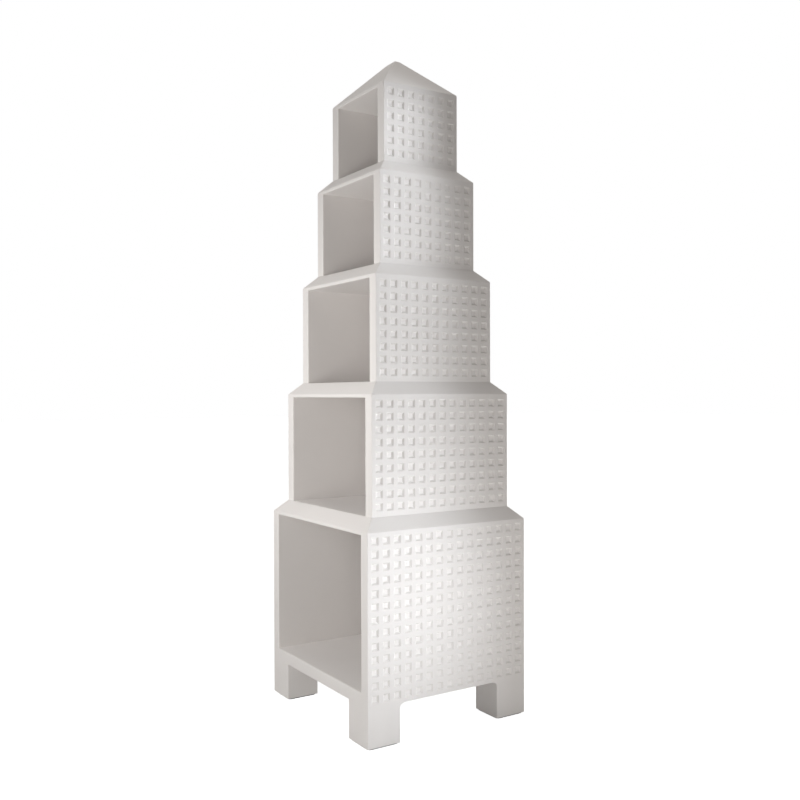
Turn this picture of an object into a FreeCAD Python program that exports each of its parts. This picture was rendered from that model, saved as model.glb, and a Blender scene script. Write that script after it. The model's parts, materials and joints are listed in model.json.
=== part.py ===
import FreeCAD, Part
import Sketcher
import math
import os

# Stepped tower bookcase: five open bays, each one step smaller than the bay below, under a hip roof.
# The origin is on the floor under the middle. X runs across the open front, which faces -Y, and Z is up.

# Driving dimensions in millimetres
SIZES = {
    # Windows sunk in the sides: their grid also sets the depth and the height of every tier
    "pitch": 33.0,
    "window": 21.0,
    "window_floor": 12.0,
    "window_depth": 4.5,
    "column_margin": 12.0,
    "base_row_margin": 11.0,
    "row_margin": 16.0,
    # Carcass boards
    "extra_width": 43.0,
    "wall": 33.0,
    "floor_board": 35.0,
    "lip": 9.0,
    "shoulder_rise": 33.0,
    "back_board": 12.0,
    "rebate": 10.0,
    # Hip roof
    "roof_rise": 112.0,
    "ridge_width": 39.0,
    "ridge_depth": 13.0,
    # Legs and the pads under them
    "leg_side": 97.0,
    "leg_height": 100.0,
    "cove": 14.0,
    "pad_height": 3.0,
    "pad_inset": 4.0,
    # Joinery hidden in the boards
    "tongue": 10.0,
    "tongue_reach": 12.0,
    "tongue_stop": 40.0,
    "tenon": 22.0,
    "tenon_wall": 11.0,
    "tenon_reach": 18.0,
    "glue_gap": 0.5,
}
WINDOW_ROWS = (13, 9, 8, 7, 6)
WINDOW_COLUMNS = (15, 13, 11, 9, 7)

# Signs of the halves of the tower along X and Y
SIDES = {"left": -1, "right": 1}
ENDS = {"front": -1, "back": 1}

doc = FreeCAD.newDocument("tower_bookcase")
sheet = doc.addObject("Spreadsheet::Sheet", "Sizes")
for line, (alias, value) in enumerate(SIZES.items(), start=1):
    sheet.set(f"A{line}", alias)
    sheet.set(f"B{line}", str(value))
    sheet.setAlias(f"B{line}", alias)
doc.recompute()

# Every sub-part that is written out, in the order of building
nodes = []


class Tier:
    """One box of the tower, with its sizes and levels as expressions of the sheet."""

    def __init__(self, number, foot):
        self.name = f"tier_{number}"
        self.rows = WINDOW_ROWS[number - 1]
        self.columns = WINDOW_COLUMNS[number - 1]
        margin = "Sizes.base_row_margin" if number == 1 else "Sizes.row_margin"
        self.depth = f"({self.columns} * Sizes.pitch + Sizes.column_margin)"
        self.width = f"({self.depth} + Sizes.extra_width)"
        self.inside = f"({self.width} - 2 * Sizes.wall)"
        self.wall_middle = f"({self.width} - Sizes.wall) / 2"
        self.foot = foot
        self.bay_floor = f"({foot} + Sizes.floor_board)" if number == 1 else foot
        self.eave = f"({foot} + {self.rows} * Sizes.pitch + {margin})"
        self.wall_top = f"({self.eave} - Sizes.lip)"
        self.shoulder = f"({self.eave} + Sizes.shoulder_rise)"


def span(middle, length):
    """The two ends of a length, from its middle."""
    return f"{middle} - ({length}) / 2", f"{middle} + ({length}) / 2"


def box(name, across, along, up):
    """A block between two ends on each axis."""
    block = doc.addObject("Part::Box", name)
    for axis, side, (low, high) in zip("xyz", ("Length", "Width", "Height"), (across, along, up)):
        block.setExpression(side, f"{high} - ({low})")
        block.setExpression(f"Placement.Base.{axis}", low)
    return block


def frustum(name, low_sides, high_sides, rise):
    """A block with four sloping sides between two rectangles, centred on its own Y axis."""
    block = doc.addObject("Part::Wedge", name)
    for axis, low, high in zip("XZ", low_sides, high_sides):
        block.setExpression(f"{axis}min", f"-({low}) / 2")
        block.setExpression(f"{axis}max", f"({low}) / 2")
        block.setExpression(f"{axis}2min", f"-({high}) / 2")
        block.setExpression(f"{axis}2max", f"({high}) / 2")
    block.Ymin = 0
    block.setExpression("Ymax", rise)
    return block


def group(name, members):
    """Separate solids kept together under one name."""
    together = doc.addObject("Part::Compound", name)
    together.Links = members
    return together


def cut(name, base, tools):
    """A piece with its slots and recesses taken out."""
    piece = doc.addObject("Part::Cut", name)
    piece.Base = base
    piece.Tool = group(f"{name}_cuts", tools)
    return piece


def mirrored(name, source, normal):
    """The mirror image of a piece in a middle plane of the tower."""
    image = doc.addObject("Part::Mirroring", name)
    image.Source = source
    image.Normal = normal
    return image


class TonguePair:
    """A loose tongue on each side of the tower, glued into slots that stop short of the boards' ends."""

    def __init__(self, name, tier, middle, level, sides, slot_sides):
        run = f"{tier.depth} - 2 * Sizes.tongue_stop"
        slot_run = f"{run} + 2 * Sizes.glue_gap"
        self.strips = []
        self.slots = {}
        for side, sign in SIDES.items():
            place = f"{sign} * {middle}"
            strip = box(f"{name}_{side}", span(place, sides[0]), span("0", run), span(level, sides[1]))
            slot = box(
                f"{name}_{side}_slot",
                span(place, slot_sides[0]),
                span("0", slot_run),
                span(level, slot_sides[1]),
            )
            self.strips.append(strip)
            self.slots[side] = slot
        nodes.append(group(f"{name}s", self.strips))


def upright_tongues(name, tier, level):
    """Tongues that stand across the level where the side walls meet a flat board."""
    sides = ("Sizes.tongue", "2 * Sizes.tongue_reach")
    slot_sides = ("Sizes.tongue", "2 * (Sizes.tongue_reach + Sizes.glue_gap)")
    return TonguePair(name, tier, tier.wall_middle, level, sides, slot_sides)


def lying_tongues(name, tier):
    """Tongues that lie across the joints of the base floor and the side walls."""
    level = f"{tier.foot} + Sizes.floor_board / 2"
    sides = ("2 * Sizes.tongue_reach", "Sizes.tongue")
    slot_sides = ("2 * (Sizes.tongue_reach + Sizes.glue_gap)", "Sizes.tongue")
    return TonguePair(name, tier, f"{tier.inside} / 2", level, sides, slot_sides)


def window_cutter(name, floor_side, turn):
    """A square recess whose four reveals slope in from its mouth, which lies in the wall's face."""
    mouth = ("Sizes.window", "Sizes.window")
    cutter = frustum(name, mouth, (floor_side, floor_side), "Sizes.window_depth")
    cutter.Placement.Rotation = FreeCAD.Rotation(FreeCAD.Vector(0, 0, 1), turn)
    return cutter


def window_grid(name, tier, cutter, wall_face):
    """Copies of one window in rows and columns, centred on the outer face of a side wall."""
    copies = []
    for row in range(tier.rows):
        for column in range(tier.columns):
            along = (column - (tier.columns - 1) / 2) * sheet.pitch
            up = (row - (tier.rows - 1) / 2) * sheet.pitch
            copies.append(cutter.Shape.translated(FreeCAD.Vector(0, along, up)))
    grid = doc.addObject("Part::Feature", name)
    grid.Shape = Part.makeCompound(copies)
    grid.setExpression("Placement.Base.x", wall_face)
    grid.setExpression("Placement.Base.z", f"({tier.foot} + {tier.eave}) / 2")
    return grid


def back_space(name, tier, gap):
    """The space of a bay's back board, flush with the rear and let into both side walls."""
    across = span("0", f"{tier.inside} + 2 * (Sizes.rebate + {gap})")
    along = (f"{tier.depth} / 2 - Sizes.back_board", f"{tier.depth} / 2")
    return box(name, across, along, (tier.bay_floor, tier.wall_top))


def side_walls(tier, cutters, tongue_pairs):
    """Left and right walls: slots for the tongues, a rebate for the back and the grid of windows."""
    rebate = back_space(f"{tier.name}_back_rebate", tier, "Sizes.glue_gap")
    for side, sign in SIDES.items():
        name = f"{tier.name}_{side}_side"
        across = span(f"{sign} * {tier.wall_middle}", "Sizes.wall")
        board = box(f"{name}_board", across, span("0", tier.depth), (tier.foot, tier.wall_top))
        windows = window_grid(f"{name}_windows", tier, cutters[side], f"{sign} * {tier.width} / 2")
        slots = [pair.slots[side] for pair in tongue_pairs]
        nodes.append(cut(name, board, [rebate, windows] + slots))


def sloped_board(name, tier, top_sides, rise, tongue_pairs):
    """A board over a tier: a straight lip all round, then four slopes up to a smaller flat top."""
    lip = box(f"{name}_lip", span("0", tier.width), span("0", tier.depth), (tier.wall_top, tier.eave))
    slopes = frustum(f"{name}_slopes", (tier.width, tier.depth), top_sides, rise)
    slopes.Placement.Rotation = FreeCAD.Rotation(FreeCAD.Vector(1, 0, 0), 90)
    slopes.setExpression("Placement.Base.z", tier.eave)
    whole = doc.addObject("Part::MultiFuse", f"{name}_whole")
    whole.Shapes = [lip, slopes]
    whole.Refine = True
    slots = [slot for pair in tongue_pairs for slot in pair.slots.values()]
    nodes.append(cut(name, whole, slots))


def corner_blocks(name, tier, reach):
    """A square block over each leg, just in from the leg's inner face and clear of the floor's tongue."""
    middle = f"({tier.width} / 2 - Sizes.leg_side + Sizes.tenon_wall + Sizes.tenon / 2)"
    blocks = []
    for end, rear in ENDS.items():
        for side, sign in SIDES.items():
            across = span(f"{sign} * {middle}", "Sizes.tenon")
            along = span(f"{rear} * ({tier.depth} - Sizes.leg_side) / 2", "Sizes.tenon")
            blocks.append(box(f"{name}_{end}_{side}", across, along, span(tier.foot, f"2 * ({reach})")))
    return blocks


def base_floor(tier, tongue_pair, sockets):
    """Floor of the lowest bay, held between the side walls."""
    board = box(
        "base_floor_board",
        span("0", tier.inside),
        span("0", tier.depth),
        (tier.foot, tier.bay_floor),
    )
    nodes.append(cut("base_floor", board, list(tongue_pair.slots.values()) + sockets))


def leg_profile(body):
    """Side view of a leg: a straight post with a cove that runs out under the side wall."""
    side = sheet.leg_side
    height = sheet.leg_height
    cove = sheet.cove
    plane = [feature for feature in body.Origin.OriginFeatures if feature.Role == "YZ_Plane"][0]
    sketch = body.newObject("Sketcher::SketchObject", "leg_profile")
    sketch.AttachmentSupport = (plane, [""])
    sketch.MapMode = "FlatFace"
    corners = [(0, 0), (side, 0), (side, height - cove), (side + cove, height), (0, height)]
    points = [FreeCAD.Vector(y, z, 0) for y, z in corners]
    foot, inner, top, outer = [
        sketch.addGeometry(Part.LineSegment(points[start], points[end]), False)
        for start, end in ((0, 1), (1, 2), (3, 4), (4, 0))
    ]
    circle = Part.Circle(FreeCAD.Vector(side + cove, height - cove, 0), FreeCAD.Vector(0, 0, 1), cove)
    arc = sketch.addGeometry(Part.ArcOfCircle(circle, math.pi / 2, math.pi), False)
    sketch.addConstraint([
        Sketcher.Constraint("Coincident", foot, 1, -1, 1),
        Sketcher.Constraint("Coincident", foot, 2, inner, 1),
        Sketcher.Constraint("Tangent", inner, 2, arc, 2),
        Sketcher.Constraint("Tangent", arc, 1, top, 1),
        Sketcher.Constraint("Coincident", top, 2, outer, 1),
        Sketcher.Constraint("Coincident", outer, 2, foot, 1),
        Sketcher.Constraint("Horizontal", foot),
        Sketcher.Constraint("Horizontal", top),
        Sketcher.Constraint("Vertical", inner),
        Sketcher.Constraint("Vertical", outer),
    ])
    for constraint, alias in (
        (Sketcher.Constraint("DistanceX", foot, 1, foot, 2, side), "leg_side"),
        (Sketcher.Constraint("DistanceY", outer, 2, outer, 1, height), "leg_height"),
        (Sketcher.Constraint("Radius", arc, cove), "cove"),
    ):
        number = sketch.addConstraint(constraint)
        sketch.setExpression(f"Constraints[{number}]", f"Sizes.{alias}")
    return sketch


def legs(tier, sockets):
    """Four block legs: the front right one is drawn and the others are its mirror images."""
    body = doc.addObject("PartDesign::Body", "leg_post")
    post = body.newObject("PartDesign::Pad", "post")
    post.Profile = leg_profile(body)
    post.setExpression("Length", "Sizes.leg_side")
    body.setExpression("Placement.Base.x", f"{tier.width} / 2 - Sizes.leg_side")
    body.setExpression("Placement.Base.y", f"-{tier.depth} / 2")
    body.setExpression("Placement.Base.z", "Sizes.pad_height")
    front_right = cut("leg_front_right", body, sockets)
    front_left = mirrored("leg_front_left", front_right, FreeCAD.Vector(1, 0, 0))
    back_right = mirrored("leg_back_right", front_right, FreeCAD.Vector(0, 1, 0))
    back_left = mirrored("leg_back_left", back_right, FreeCAD.Vector(1, 0, 0))
    nodes.extend([front_right, front_left, back_right, back_left])


def foot_pads(tier):
    """Thin pads under the legs, set in from the legs' edges so that a fine shadow line shows."""
    pad = "Sizes.leg_side - 2 * Sizes.pad_inset"
    for end, rear in ENDS.items():
        for side, sign in SIDES.items():
            across = span(f"{sign} * ({tier.width} - Sizes.leg_side) / 2", pad)
            along = span(f"{rear} * ({tier.depth} - Sizes.leg_side) / 2", pad)
            nodes.append(box(f"foot_pad_{end}_{side}", across, along, ("0", "Sizes.pad_height")))


# Levels from the underside of the carcass up: each tier stands on the shoulder of the one below
tiers = [Tier(1, "(Sizes.pad_height + Sizes.leg_height)")]
for number in range(2, len(WINDOW_ROWS) + 1):
    tiers.append(Tier(number, tiers[-1].shoulder))
base = tiers[0]

# Windows: those of the left side have fewer faces, because their reveals run on to a point
cutters = {
    "right": window_cutter("right_window", "Sizes.window_floor", 90),
    "left": window_cutter("left_window", "0", -90),
}
doc.recompute()

# Feet, legs and base floor
sockets = corner_blocks("leg_socket", base, "Sizes.tenon_reach + Sizes.glue_gap")
foot_pads(base)
legs(base, sockets)
nodes.append(group("leg_tenons", corner_blocks("leg_tenon", base, "Sizes.tenon_reach")))
foot_joint = lying_tongues("base_floor_tongue", base)
base_floor(base, foot_joint, sockets)

# Tiers from the base up, each closed by the sloped board that carries the next one or by the roof
for tier, next_tier in zip(tiers, tiers[1:] + [None]):
    head_joint = upright_tongues(f"{tier.name}_head_tongue", tier, tier.wall_top)
    side_walls(tier, cutters, [foot_joint, head_joint])
    nodes.append(back_space(f"{tier.name}_back", tier, "0"))
    if next_tier:
        foot_joint = upright_tongues(f"{next_tier.name}_foot_tongue", next_tier, next_tier.foot)
        top_sides = (next_tier.width, next_tier.depth)
        sloped_board(f"{tier.name}_top", tier, top_sides, "Sizes.shoulder_rise", [head_joint, foot_joint])
    else:
        ridge_sides = ("Sizes.ridge_width", "Sizes.ridge_depth")
        sloped_board("roof", tier, ridge_sides, "Sizes.roof_rise", [head_joint])
doc.recompute()

for item in doc.Objects:
    if "Invalid" in item.State or "Error" in item.State:
        raise RuntimeError(f"{item.Label} did not build: {item.State}")
for node in nodes:
    if node.Shape.isNull() or not node.Shape.isValid():
        raise RuntimeError(f"{node.Label} has no valid shape")

os.makedirs("parts", exist_ok=True)
for node in nodes:
    node.Shape.exportStep(f"parts/{node.Label}.step")
    print(f"{node.Label}: {len(node.Shape.Solids)} solid(s), {node.Shape.Volume:.0f} cubic mm")
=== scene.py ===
import json
import math

import bmesh
import bpy
from mathutils import Euler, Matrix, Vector
from mathutils.geometry import intersect_point_line

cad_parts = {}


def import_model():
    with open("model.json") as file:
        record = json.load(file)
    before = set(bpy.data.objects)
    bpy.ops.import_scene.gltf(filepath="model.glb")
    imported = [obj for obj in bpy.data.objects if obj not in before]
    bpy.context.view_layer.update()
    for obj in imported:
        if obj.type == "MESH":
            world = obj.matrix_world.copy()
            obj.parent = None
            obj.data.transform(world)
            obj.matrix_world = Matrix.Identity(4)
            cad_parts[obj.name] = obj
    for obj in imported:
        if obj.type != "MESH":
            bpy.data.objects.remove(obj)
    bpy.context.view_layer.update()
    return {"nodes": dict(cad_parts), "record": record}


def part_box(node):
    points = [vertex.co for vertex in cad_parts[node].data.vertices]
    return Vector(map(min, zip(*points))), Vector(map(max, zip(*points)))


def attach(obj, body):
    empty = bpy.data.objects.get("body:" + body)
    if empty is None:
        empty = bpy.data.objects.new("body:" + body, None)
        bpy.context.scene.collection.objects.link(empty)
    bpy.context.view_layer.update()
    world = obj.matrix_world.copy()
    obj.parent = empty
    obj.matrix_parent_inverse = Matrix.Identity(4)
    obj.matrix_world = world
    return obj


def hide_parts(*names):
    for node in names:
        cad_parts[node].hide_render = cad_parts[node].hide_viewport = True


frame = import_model()
scene = bpy.context.scene

# Sizes in metres, counts and angles that the boxes of the CAD nodes do not give
WINDOW_MOUTH = 0.021
WINDOW_FLOOR = 0.012
WINDOW_DEPTH = 0.0045
REVEAL_SLOPE = math.radians(45)
WINDOW_ROUND = 0.0006
ARC_STEPS = 3
CORNER_ROUND = 0.002
EAVE_ROUND = 0.002
OPENING_ROUND = 0.003
ROUND_RUNOUT = 0.0015
RIDGE_ROUND = 0.005
FOOT_ROUND = 0.001
BACK_ROUND = 0.0006
PAD_CORNER_ROUND = 0.008
WIDEST_ROUND = 0.01
ROUND_SEGMENTS = 4
SHARP_ANGLE = math.radians(35)
COVE_STEPS = 10
COVE_ROUNDED_SHARE = 0.6
TOLERANCE = 0.00001

TIER_COUNT = 5
SIDES = {"left": -1, "right": 1}
ENDS = {"front": -1, "back": 1}
# Names of the two faces of a flat board square to each axis
SLAB_FACES = (("left", "right"), ("front", "rear"), ("low", "high"))


class Tier:
    """Faces and levels of one tier, read from its boards in the frame."""

    def __init__(self, number):
        self.name = f"tier_{number}"
        low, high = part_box(f"{self.name}_right_side")
        self.inner, self.outer = low.x, high.x
        self.front, self.rear = low.y, high.y
        self.foot, self.wall_top = low.z, high.z
        self.back_low, self.back_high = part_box(f"{self.name}_back")


TIERS = [Tier(number) for number in range(1, TIER_COUNT + 1)]
BASE = TIERS[0]
# A tier has one column of windows fewer at each end than the tier below, so it steps in by one pitch
PITCH = BASE.outer - TIERS[1].outer
TOP_LOW, TOP_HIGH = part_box("tier_1_top")
LIP = TOP_HIGH.z - TOP_LOW.z - PITCH


def on_line(point, start, end):
    """Whether a point lies on the straight line between two others."""
    nearest, share = intersect_point_line(point, start, end)
    within = -TOLERANCE <= share <= 1 + TOLERANCE
    return within and (point - nearest).length < TOLERANCE


class Solid:
    """A closed mesh under construction, with a rounding radius for each edge that stays exposed."""

    def __init__(self):
        self.mesh = bmesh.new()
        self.weight = self.mesh.edges.layers.float.new("bevel_weight_edge")

    def vertex(self, x, y, z):
        return self.mesh.verts.new((x, y, z))

    def face(self, vertices):
        return self.mesh.faces.new(vertices)

    def band(self, ring, following_ring):
        """Faces between two closed rings of as many vertices."""
        for corner in range(len(ring)):
            following = (corner + 1) % len(ring)
            self.face([
                ring[corner],
                ring[following],
                following_ring[following],
                following_ring[corner],
            ])

    def sliced(self, axis, places, faces=None):
        """Adds edges round the solid, or across some of its faces, where planes square to an axis cut it."""
        normal = Vector((0, 0, 0))
        normal["xyz".index(axis)] = 1
        for place in places:
            cut = list(faces or self.mesh.faces)
            geometry = {part for face in cut for part in (face, *face.edges, *face.verts)}
            result = bmesh.ops.bisect_plane(
                self.mesh,
                geom=list(geometry),
                dist=TOLERANCE,
                plane_co=normal * place,
                plane_no=normal,
            )
            if faces:
                faces = [part for part in result["geom"] if isinstance(part, bmesh.types.BMFace)]

    def rounded(self, start, end, radius):
        """Rounds every edge on the straight line between two points."""
        start, end = Vector(start), Vector(end)
        for edge in self.mesh.edges:
            if all(on_line(vertex.co, start, end) for vertex in edge.verts):
                edge[self.weight] = radius / WIDEST_ROUND

    def rounded_path(self, points, radius):
        """Rounds the edges along a run of straight lines."""
        for start, end in zip(points, points[1:]):
            self.rounded(start, end, radius)

    def finished(self, name):
        """The mesh with its marked edges rounded, its flat faces shaded flat and its other corners crisp."""
        bmesh.ops.recalc_face_normals(self.mesh, faces=self.mesh.faces)
        for face in self.mesh.faces:
            face.smooth = True
        for edge in self.mesh.edges:
            edge.smooth = edge.calc_face_angle() < SHARP_ANGLE
        draft = bpy.data.objects.new(name, bpy.data.meshes.new(name))
        self.mesh.to_mesh(draft.data)
        self.mesh.free()
        scene.collection.objects.link(draft)
        edges = draft.modifiers.new("soft_edges", "BEVEL")
        edges.limit_method = "WEIGHT"
        edges.width = WIDEST_ROUND
        edges.segments = ROUND_SEGMENTS
        edges.use_clamp_overlap = False
        edges.harden_normals = True
        graph = bpy.context.evaluated_depsgraph_get()
        data = bpy.data.meshes.new_from_object(draft.evaluated_get(graph))
        bpy.data.objects.remove(draft)
        return data


def add_piece(solid, slot, node):
    """Makes the solid into the finished piece that stands for a CAD node."""
    name = f"finished_{node}"
    data = solid.finished(name)
    data.materials.append(MATERIALS[slot])
    piece = bpy.data.objects.new(name, data)
    scene.collection.objects.link(piece)
    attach(piece, "root")
    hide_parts(node)


def rounded_profile():
    """Half sides and depths of a window from its mouth to its floor, with both bends rounded."""
    tangent = WINDOW_ROUND * math.tan(REVEAL_SLOPE / 2)
    profile = []
    for step in range(ARC_STEPS + 1):
        turn = REVEAL_SLOPE * step / ARC_STEPS
        inward = WINDOW_ROUND * math.sin(turn) - tangent
        depth = WINDOW_ROUND * (1 - math.cos(turn))
        profile.append((WINDOW_MOUTH / 2 - inward, depth))
    for half, depth in reversed(profile[:]):
        inner_half = WINDOW_FLOOR / 2 + WINDOW_MOUTH / 2 - half
        profile.append((inner_half, WINDOW_DEPTH - depth))
    return profile


WINDOW_PROFILE = rounded_profile()


def square_ring(solid, sign, face, middle, half, depth):
    """Four corners of one step of a window, in order round its middle."""
    along, up = middle
    x = sign * (face - depth)
    corners = ((-half, -half), (half, -half), (half, half), (-half, half))
    return [solid.vertex(x, along + dy, up + dz) for dy, dz in corners]


def sunk_window(solid, sign, face, middle, mouth):
    """Rings of faces from the mouth down the four sloped reveals to the floor."""
    ring = mouth
    for half, depth in WINDOW_PROFILE[1:]:
        inner = square_ring(solid, sign, face, middle, half, depth)
        solid.band(ring, inner)
        ring = inner
    solid.face(ring)


def window_middles(low, high):
    """Middles of as many windows as fit between two ends, centred between them."""
    count = int((high - low) / PITCH)
    middle = (low + high) / 2
    return [middle + (place - (count - 1) / 2) * PITCH for place in range(count)]


def window_lines(middles):
    """Both edges of every window along one axis."""
    half = WINDOW_PROFILE[0][0]
    return [middle + shift for middle in middles for shift in (-half, half)]


def window_wall(solid, tier, sign, low_front, low_rear, high_rear, high_front):
    """Outer face of a side wall, between its corners: plain bands round rows and columns of windows."""
    alongs = window_middles(tier.front, tier.rear)
    ups = window_middles(tier.foot, tier.wall_top + LIP)
    lines_along, lines_up = window_lines(alongs), window_lines(ups)
    grid = [[solid.vertex(sign * tier.outer, y, z) for z in lines_up] for y in lines_along]
    for column in range(len(lines_along) - 1):
        for row in range(len(lines_up) - 1):
            cell = [
                grid[column][row],
                grid[column + 1][row],
                grid[column + 1][row + 1],
                grid[column][row + 1],
            ]
            if column % 2 == 0 and row % 2 == 0:
                sunk_window(solid, sign, tier.outer, (alongs[column // 2], ups[row // 2]), cell)
            else:
                solid.face(cell)
    solid.face([low_rear, high_rear, *reversed(grid[-1])])
    solid.face([high_rear, high_front, *[line[-1] for line in grid]])
    solid.face([high_front, low_front, *grid[0]])
    return solid.face([low_front, low_rear, *[line[0] for line in reversed(grid)]])


def side_wall(tier, side):
    """A side board with its rebate for the back, its windows and softened front and rear corners."""
    solid = Solid()
    sign = SIDES[side]
    plan = [
        (tier.outer, tier.front),
        (tier.inner, tier.front),
        (tier.inner, tier.back_low.y),
        (tier.back_high.x, tier.back_low.y),
        (tier.back_high.x, tier.rear),
        (tier.outer, tier.rear),
    ]
    bay = [solid.vertex(sign * x, y, tier.back_low.z) for x, y in plan[1:-1]]
    high = [solid.vertex(sign * x, y, tier.wall_top) for x, y in plan]
    solid.face(high)
    for corner in range(1, len(bay)):
        solid.face([bay[corner - 1], bay[corner], high[corner + 1], high[corner]])
    if tier is BASE:
        # Below the bay the board is whole, so the rebate ends on a ledge level with the base floor
        corners = (plan[0], plan[1], (tier.inner, tier.rear), plan[-1])
        low = [solid.vertex(sign * x, y, tier.foot) for x, y in corners]
        ledge_corner = solid.vertex(sign * tier.inner, tier.rear, tier.back_low.z)
        solid.face([bay[1], bay[2], bay[3], ledge_corner])
        front = solid.face([low[0], low[1], bay[0], high[1], high[0]])
        inside = solid.face([low[1], low[2], ledge_corner, bay[1], bay[0]])
        solid.face([low[2], low[3], high[-1], high[-2], bay[3], ledge_corner])
        underside = solid.face(low)
    else:
        low = [solid.vertex(sign * plan[0][0], plan[0][1], tier.foot)]
        low += bay + [solid.vertex(sign * plan[-1][0], plan[-1][1], tier.foot)]
        solid.face([low[0], bay[0], high[1], high[0]])
        solid.face([bay[-1], low[-1], high[-1], high[-2]])
        solid.face(low)
    low_band = window_wall(solid, tier, sign, low[0], low[-1], high[-1], high[0])
    if tier is BASE:
        tips = [cove_tip(end) for end in ENDS]
        runouts = [tip + rear * ROUND_RUNOUT for tip, rear in zip(tips, ENDS.values())]
        solid.sliced("y", tips + runouts, [underside, low_band])
        between_legs = [(sign * tier.outer, tip, tier.foot) for tip in tips]
        solid.rounded_path(between_legs, OPENING_ROUND)
        solid.sliced("z", [tier.back_low.z - ROUND_RUNOUT], [front, inside])
    solid.rounded(bay[0].co, high[1].co, OPENING_ROUND)
    for corner in (0, -1):
        solid.rounded(low[corner].co, high[corner].co, CORNER_ROUND)
    add_piece(solid, "white_lacquer", f"{tier.name}_{side}_side")


def rectangle(solid, across, front, rear, level):
    """Corners of a level rectangle centred across the tower, from the front left one round."""
    corners = ((-across, front), (across, front), (across, rear), (-across, rear))
    return [solid.vertex(x, y, level) for x, y in corners]


def both_ends(across):
    """Places where the rounding of a centred edge stops, and where it has run out into its board."""
    return [sign * (across + runout) for sign in SIDES.values() for runout in (0, ROUND_RUNOUT)]


def level_edge(across, y, z):
    """Ends of a level edge centred across the tower."""
    return (-across, y, z), (across, y, z)


def sloped_board(node, tier, top, next_tier=None):
    """The board over a tier: a straight lip, four slopes and a smaller flat top."""
    solid = Solid()
    across, front, rear, level = top
    rings = [
        rectangle(solid, tier.outer, tier.front, tier.rear, tier.wall_top),
        rectangle(solid, tier.outer, tier.front, tier.rear, tier.wall_top + LIP),
        rectangle(solid, across, front, rear, level),
    ]
    low, eave, high = [[vertex.co.copy() for vertex in ring] for ring in rings]
    for under, over in zip(rings, rings[1:]):
        solid.band(under, over)
    solid.face(rings[0])
    solid.face(rings[-1])
    solid.sliced("x", both_ends(tier.inner))
    if next_tier:
        solid.sliced("x", both_ends(next_tier.inner))
    for uprights in zip(low, eave, high):
        solid.rounded_path(uprights, CORNER_ROUND)
    solid.rounded_path([*eave, eave[0]], EAVE_ROUND)
    solid.rounded(*level_edge(tier.inner, tier.front, tier.wall_top), OPENING_ROUND)
    if next_tier:
        solid.rounded(*level_edge(next_tier.inner, front, level), OPENING_ROUND)
    else:
        solid.rounded_path([*high, high[0]], RIDGE_ROUND)
    add_piece(solid, "white_lacquer", node)


def highest_ring(node):
    """Half width, front, rear and level of the flat top of a CAD node."""
    points = [vertex.co for vertex in frame["nodes"][node].data.vertices]
    level = max(point.z for point in points)
    top = [point for point in points if level - point.z < TOLERANCE]
    across = max(point.x for point in top)
    return across, min(point.y for point in top), max(point.y for point in top), level


def slab(node, radius, rounded_edges):
    """A flat board in the place of a CAD node, with the named edges rounded."""
    solid = Solid()
    low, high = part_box(node)
    corners = {}
    for x_name, x in (("left", low.x), ("right", high.x)):
        for y_name, y in (("front", low.y), ("rear", high.y)):
            for z_name, z in (("low", low.z), ("high", high.z)):
                corners[x_name, y_name, z_name] = solid.vertex(x, y, z)
    for axis, pair in enumerate(SLAB_FACES):
        others = [*SLAB_FACES[:axis], *SLAB_FACES[axis + 1:]]
        for end in pair:
            loop = []
            for first, second in ((0, 0), (1, 0), (1, 1), (0, 1)):
                place = [others[0][first], others[1][second]]
                place.insert(axis, end)
                loop.append(corners[tuple(place)])
            solid.face(loop)
    for start, end in rounded_edges:
        solid.rounded(corners[start].co, corners[end].co, radius)
    return solid


def back_board(tier):
    """A bay's back, with a hairline of a joint where it lies in the rebates at the rear."""
    rim = [
        ("left", "rear", "low"),
        ("right", "rear", "low"),
        ("right", "rear", "high"),
        ("left", "rear", "high"),
    ]
    node = f"{tier.name}_back"
    edges = zip(rim, rim[1:] + rim[:1])
    add_piece(slab(node, BACK_ROUND, edges), "white_lacquer", node)


def base_floor():
    """Floor of the lowest bay: its front edge shows, and its underside between the legs."""
    solid = Solid()
    low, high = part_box("base_floor")
    leg_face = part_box("leg_front_right")[0].x
    under = rectangle(solid, high.x, low.y, high.y, low.z)
    over = rectangle(solid, high.x, low.y, high.y, high.z)
    solid.band(under, over)
    solid.face(under)
    solid.face(over)
    solid.sliced("x", both_ends(leg_face))
    solid.rounded(*level_edge(high.x, low.y, high.z), OPENING_ROUND)
    for end in (low.y, high.y):
        solid.rounded(*level_edge(leg_face, end, low.z), OPENING_ROUND)
    add_piece(solid, "white_lacquer", "base_floor")


def cove_tip(end):
    """Where the cove of the legs at one end runs out under the side wall."""
    low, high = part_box(f"leg_{end}_right")
    return high.y if end == "front" else low.y


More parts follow.
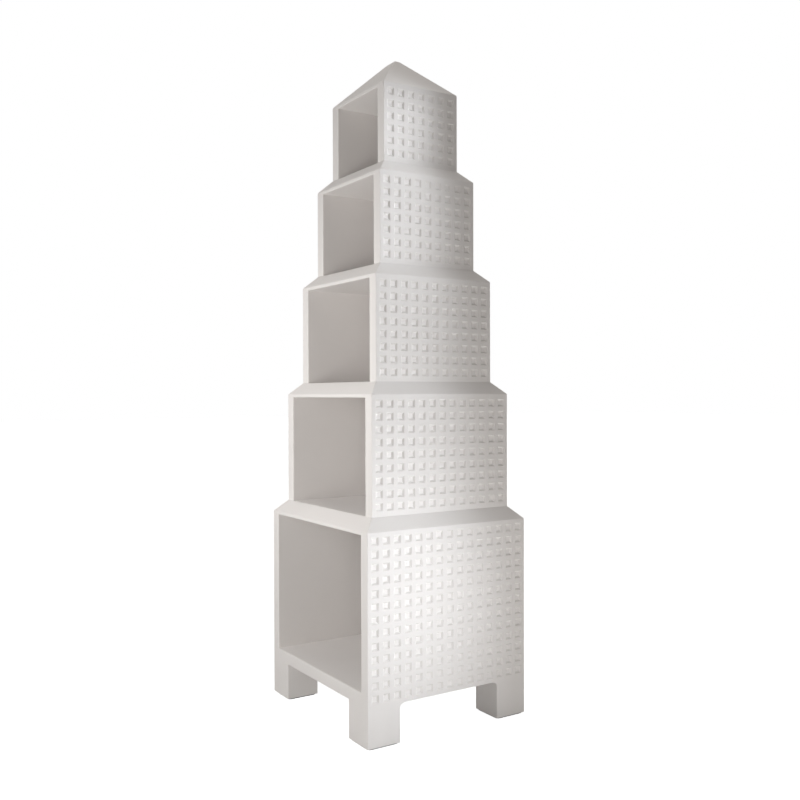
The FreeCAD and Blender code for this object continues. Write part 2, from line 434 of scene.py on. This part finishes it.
def leg(end, side):
    """A block leg with a cove at its head, softened where no board covers it."""
    solid = Solid()
    low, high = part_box(f"leg_{end}_{side}")
    rear = ENDS[end]
    square = high.x - low.x
    cove = high.y - low.y - square
    outer = low.y if end == "front" else high.y
    outline = [(0, low.z), (square, low.z)]
    for step in range(COVE_STEPS + 1):
        turn = math.pi / 2 * step / COVE_STEPS
        reach = square + cove * (1 - math.cos(turn))
        outline.append((reach, high.z - cove * (1 - math.sin(turn))))
    outline.append((0, high.z))
    loops = [[solid.vertex(x, outer - rear * y, z) for y, z in outline] for x in (low.x, high.x)]
    solid.band(*loops)
    solid.face(loops[0])
    solid.face(loops[1])
    rounded_steps = int(COVE_STEPS * COVE_ROUNDED_SHARE)
    left, right = [[vertex.co.copy() for vertex in loop] for loop in loops]
    for line in (left, right):
        solid.rounded(line[-1], line[0], CORNER_ROUND)
        solid.rounded(line[0], line[1], FOOT_ROUND)
        solid.rounded_path(line[1:3 + rounded_steps], OPENING_ROUND)
    for corner in (0, 1):
        solid.rounded(left[corner], right[corner], FOOT_ROUND)
    add_piece(solid, "white_lacquer", f"leg_{end}_{side}")


def foot_pad(end, side):
    """A felt pad with rounded corners."""
    node = f"foot_pad_{end}_{side}"
    uprights = [
        ((x, y, "low"), (x, y, "high"))
        for x in ("left", "right")
        for y in ("front", "rear")
    ]
    add_piece(slab(node, PAD_CORNER_ROUND, uprights), "dark_felt", node)


MATT_SPECULAR = 0.2
FELT_SHEEN = 0.3
GRAIN_STRETCH = (60, 4, 60)


def new_material(name):
    """A node material with its node tree, its shader and the place of each point on the tower."""
    material = bpy.data.materials.new(name)
    material.use_nodes = True
    tree = material.node_tree
    place = tree.nodes.new("ShaderNodeTexCoord").outputs["Object"]
    return material, tree, tree.nodes["Principled BSDF"], place


def noise(tree, vector, scale, detail, roughness):
    """A noise texture's value at a place."""
    texture = tree.nodes.new("ShaderNodeTexNoise")
    texture.inputs["Scale"].default_value = scale
    texture.inputs["Detail"].default_value = detail
    texture.inputs["Roughness"].default_value = roughness
    tree.links.new(vector, texture.inputs["Vector"])
    return texture.outputs["Fac"]


def colour_ramp(tree, factor, stops):
    """A colour between two stops, each a position and a colour."""
    ramp = tree.nodes.new("ShaderNodeValToRGB")
    for element, (position, colour) in zip(ramp.color_ramp.elements, stops):
        element.position = position
        element.color = (*colour, 1)
    tree.links.new(factor, ramp.inputs["Fac"])
    return ramp.outputs["Color"]


def value_range(tree, factor, low, high):
    """A factor from nought to one, brought to a range of its own."""
    ranged = tree.nodes.new("ShaderNodeMapRange")
    ranged.inputs["To Min"].default_value = low
    ranged.inputs["To Max"].default_value = high
    tree.links.new(factor, ranged.inputs["Value"])
    return ranged.outputs["Result"]


def bump(tree, height, strength, distance):
    """A normal that follows a height."""
    node = tree.nodes.new("ShaderNodeBump")
    node.inputs["Strength"].default_value = strength
    node.inputs["Distance"].default_value = distance
    tree.links.new(height, node.inputs["Height"])
    return node.outputs["Normal"]


def white_lacquer():
    """Matt white lacquer: a faint warm tint that drifts, a sprayed skin and an uneven sheen."""
    material, tree, shader, place = new_material("white_lacquer")
    drift = noise(tree, place, scale=3.0, detail=3, roughness=0.5)
    darker, lighter = (0.845, 0.82, 0.806), (0.875, 0.85, 0.836)
    tint = colour_ramp(tree, drift, ((0.3, darker), (0.7, lighter)))
    tree.links.new(tint, shader.inputs["Base Color"])
    sheen = noise(tree, place, scale=22.0, detail=4, roughness=0.6)
    tree.links.new(value_range(tree, sheen, low=0.66, high=0.80), shader.inputs["Roughness"])
    skin = noise(tree, place, scale=420.0, detail=2, roughness=0.5)
    tree.links.new(bump(tree, skin, strength=0.05, distance=0.0004), shader.inputs["Normal"])
    shader.inputs["Specular IOR Level"].default_value = MATT_SPECULAR
    return material


def bare_beech():
    """Planed beech: pale brown with a grain stretched from front to back."""
    material, tree, shader, place = new_material("bare_beech")
    stretch = tree.nodes.new("ShaderNodeMapping")
    stretch.inputs["Scale"].default_value = GRAIN_STRETCH
    tree.links.new(place, stretch.inputs["Vector"])
    grain = noise(tree, stretch.outputs["Vector"], scale=3.0, detail=6, roughness=0.65)
    darker, lighter = (0.42, 0.25, 0.13), (0.56, 0.36, 0.20)
    tint = colour_ramp(tree, grain, ((0.3, darker), (0.7, lighter)))
    tree.links.new(tint, shader.inputs["Base Color"])
    tree.links.new(value_range(tree, grain, low=0.5, high=0.7), shader.inputs["Roughness"])
    tree.links.new(bump(tree, grain, strength=0.2, distance=0.0005), shader.inputs["Normal"])
    return material


def dark_felt():
    """Dense dark felt: matted fibres in near blacks."""
    material, tree, shader, place = new_material("dark_felt")
    fibres = noise(tree, place, scale=900.0, detail=5, roughness=0.75)
    darker, lighter = (0.012, 0.011, 0.010), (0.05, 0.046, 0.042)
    tint = colour_ramp(tree, fibres, ((0.35, darker), (0.7, lighter)))
    tree.links.new(tint, shader.inputs["Base Color"])
    tree.links.new(value_range(tree, fibres, low=0.85, high=1.0), shader.inputs["Roughness"])
    tree.links.new(bump(tree, fibres, strength=0.8, distance=0.0006), shader.inputs["Normal"])
    shader.inputs["Sheen Weight"].default_value = FELT_SHEEN
    shader.inputs["Specular IOR Level"].default_value = MATT_SPECULAR
    return material


MATERIALS = {
    "white_lacquer": white_lacquer(),
    "bare_beech": bare_beech(),
    "dark_felt": dark_felt(),
}


def tower():
    """Every board, leg and pad of the bookcase, from the floor up."""
    for end in ENDS:
        for side in SIDES:
            foot_pad(end, side)
            leg(end, side)
    base_floor()
    for tier, next_tier in zip(TIERS, TIERS[1:] + [None]):
        for side in SIDES:
            side_wall(tier, side)
        back_board(tier)
        if next_tier:
            top = (next_tier.outer, next_tier.front, next_tier.rear, next_tier.foot)
            sloped_board(f"{tier.name}_top", tier, top, next_tier)
        else:
            sloped_board("roof", tier, highest_ring("roof"))


def hidden_joinery():
    """Tongues and tenons stay as they are in the frame and take the finish of bare beech."""
    for subpart in frame["record"]["subparts"]:
        if subpart["material_slot"] == "bare_beech":
            data = frame["nodes"][subpart["node"]].data
            data.materials.clear()
            data.materials.append(MATERIALS["bare_beech"])


tower()
hidden_joinery()

# Camera of the photograph
CAMERA_PLACE = (2.2173, -1.4018, 0.8886)
CAMERA_YAW = math.radians(57.325)
CAMERA_TILT = math.radians(90 - 0.362)
CAMERA_ROLL = math.radians(-0.128)
FOCAL_PIXELS = 909.36
PHOTO_PIXELS = 800
SENSOR = 36.0

# Studio: a pale floor that runs out to white, even light all round and soft lamps
FLOOR_HALF = 30.0
FLOOR_ALBEDO = 0.7
WORLD_LIGHT = 0.15
WORLD_TINT = (1.0, 0.95, 0.92)
FULL_SPREAD = 180
LAMPS = {
    "front_softbox": {
        "place": (0.0, -1.3, 0.95),
        "aim": (0.0, -0.2, 0.95),
        "size": (0.6, 0.6),
        "power": 9.1,
        "tint": (1.0, 0.99, 0.97),
    },
    "fill_softbox": {
        "place": (2.46, -1.72, 0.3),
        "aim": (0.0, 0.0, 0.9),
        "size": (1.0, 1.0),
        "power": 15.8,
        "tint": (1.0, 0.97, 0.92),
    },
    "top_softbox": {
        "place": (0.0, 0.0, 4.5),
        "aim": (0.0, 0.0, 0.0),
        "size": (2.0, 2.0),
        "power": 31.0,
        "tint": (1.0, 0.97, 0.92),
    },
    "low_softbox": {
        "place": (1.0, 0.4, 0.03),
        "aim": (0.2, 0.1, 1.0),
        "size": (0.5, 0.5),
        "power": 2.2,
        "tint": (1.0, 0.98, 0.95),
        "spread": 130,
    },
    "rear_softbox": {
        "place": (-1.1, 2.05, 1.0),
        "aim": (0.0, 0.0, 0.95),
        "size": (0.8, 0.8),
        "power": 9.0,
        "tint": (1.0, 0.97, 0.92),
        "spread": 90,
    },
}
# A lamp beside each tier, a little above its middle and turned to its near edge. Its width and distance
# are in depths of the tier, and its turn from straight across to the rear and its spread are in degrees
EDGE_LAMP_WIDTH = 0.3
EDGE_LAMP_RISE = math.radians(8)
EDGE_LAMP_TINT = (0.92, 0.96, 1.0)
EDGE_LAMPS = (
    {"turn": 30, "spread": 90, "distance": 1.3, "power": 0.73},
    {"turn": 45, "spread": 45, "distance": 2.0, "power": 0.202},
    {"turn": 45, "spread": 45, "distance": 2.0, "power": 0.166},
    {"turn": 45, "spread": 45, "distance": 2.0, "power": 0.162},
    {"turn": 45, "spread": 45, "distance": 2.0, "power": 0.113},
)


def camera():
    """The camera, level but for a slight tilt and roll."""
    data = bpy.data.cameras.new("photo_camera")
    data.sensor_width = SENSOR
    data.lens = FOCAL_PIXELS / PHOTO_PIXELS * SENSOR
    eye = bpy.data.objects.new("photo_camera", data)
    eye.location = CAMERA_PLACE
    turn = Euler((CAMERA_TILT, 0, CAMERA_YAW)).to_matrix()
    roll = Euler((0, 0, CAMERA_ROLL)).to_matrix()
    eye.rotation_euler = (turn @ roll).to_euler()
    scene.collection.objects.link(eye)
    scene.camera = eye


def seen(tree):
    """One for what the camera sees, also in gloss and through glass, and zero for plain light."""
    path = tree.nodes.new("ShaderNodeLightPath")
    total = path.outputs["Is Camera Ray"]
    for kind in ("Is Glossy Ray", "Is Transmission Ray"):
        either = tree.nodes.new("ShaderNodeMath")
        either.operation = "MAXIMUM"
        tree.links.new(total, either.inputs[0])
        tree.links.new(path.outputs[kind], either.inputs[1])
        total = either.outputs["Value"]
    return total


def floor():
    """A pale floor that keeps the object's shadow; a glow of its own lifts it to white where it is seen."""
    plane = bmesh.new()
    corners = ((-1, -1), (1, -1), (1, 1), (-1, 1))
    plane.faces.new([plane.verts.new((x * FLOOR_HALF, y * FLOOR_HALF, 0)) for x, y in corners])
    data = bpy.data.meshes.new("floor")
    plane.to_mesh(data)
    plane.free()
    ground = bpy.data.objects.new("floor", data)
    scene.collection.objects.link(ground)
    material, tree, shader, place = new_material("floor")
    grain = noise(tree, place, scale=60.0, detail=3, roughness=0.5)
    tree.links.new(value_range(tree, grain, low=0.85, high=0.95), shader.inputs["Roughness"])
    shader.inputs["Base Color"].default_value = (FLOOR_ALBEDO, FLOOR_ALBEDO, FLOOR_ALBEDO, 1)
    shader.inputs["Emission Color"].default_value = (1, 1, 1, 1)
    glow = value_range(tree, seen(tree), 0, 1 - FLOOR_ALBEDO * WORLD_LIGHT)
    tree.links.new(glow, shader.inputs["Emission Strength"])
    data.materials.append(material)


def world():
    """White where it is seen, and a plainer level as light on the object."""
    sky = bpy.data.worlds.new("studio")
    sky.use_nodes = True
    scene.world = sky
    tree = sky.node_tree
    background = tree.nodes["Background"]
    shown = seen(tree)
    tint = colour_ramp(tree, shown, ((0, WORLD_TINT), (1, (1, 1, 1))))
    tree.links.new(tint, background.inputs["Color"])
    tree.links.new(value_range(tree, shown, WORLD_LIGHT, 1), background.inputs["Strength"])


def lamp(name, place, aim, size, power, tint, spread=FULL_SPREAD):
    """A flat soft lamp that faces the point it is aimed at."""
    data = bpy.data.lights.new(name, "AREA")
    data.shape = "RECTANGLE"
    data.size, data.size_y = size
    data.energy = power
    data.color = tint
    data.spread = math.radians(spread)
    softbox = bpy.data.objects.new(name, data)
    softbox.location = place
    softbox.rotation_euler = (Vector(aim) - Vector(place)).to_track_quat("-Z", "Y").to_euler()
    scene.collection.objects.link(softbox)


def edge_lamp(tier, turn, spread, distance, power):
    """A lamp as tall as a tier, beside it and turned to its near edge."""
    depth = tier.rear - tier.front
    height = tier.wall_top + LIP - tier.foot
    edge = Vector((tier.outer, tier.front, tier.foot + height / 2))
    across = math.cos(EDGE_LAMP_RISE)
    direction = Vector((
        across * math.cos(math.radians(turn)),
        across * math.sin(math.radians(turn)),
        math.sin(EDGE_LAMP_RISE),
    ))
    place = edge + direction * distance * depth
    size = (EDGE_LAMP_WIDTH * depth, height)
    lamp(f"{tier.name}_edge_softbox", place, edge, size, power, EDGE_LAMP_TINT, spread)


def lamps():
    """The lamps of the room and the lamp of each tier."""
    for name, settings in LAMPS.items():
        lamp(name, **settings)
    for tier, settings in zip(TIERS, EDGE_LAMPS):
        edge_lamp(tier, **settings)


camera()
floor()
world()
lamps()
scene.view_settings.view_transform = "Standard"
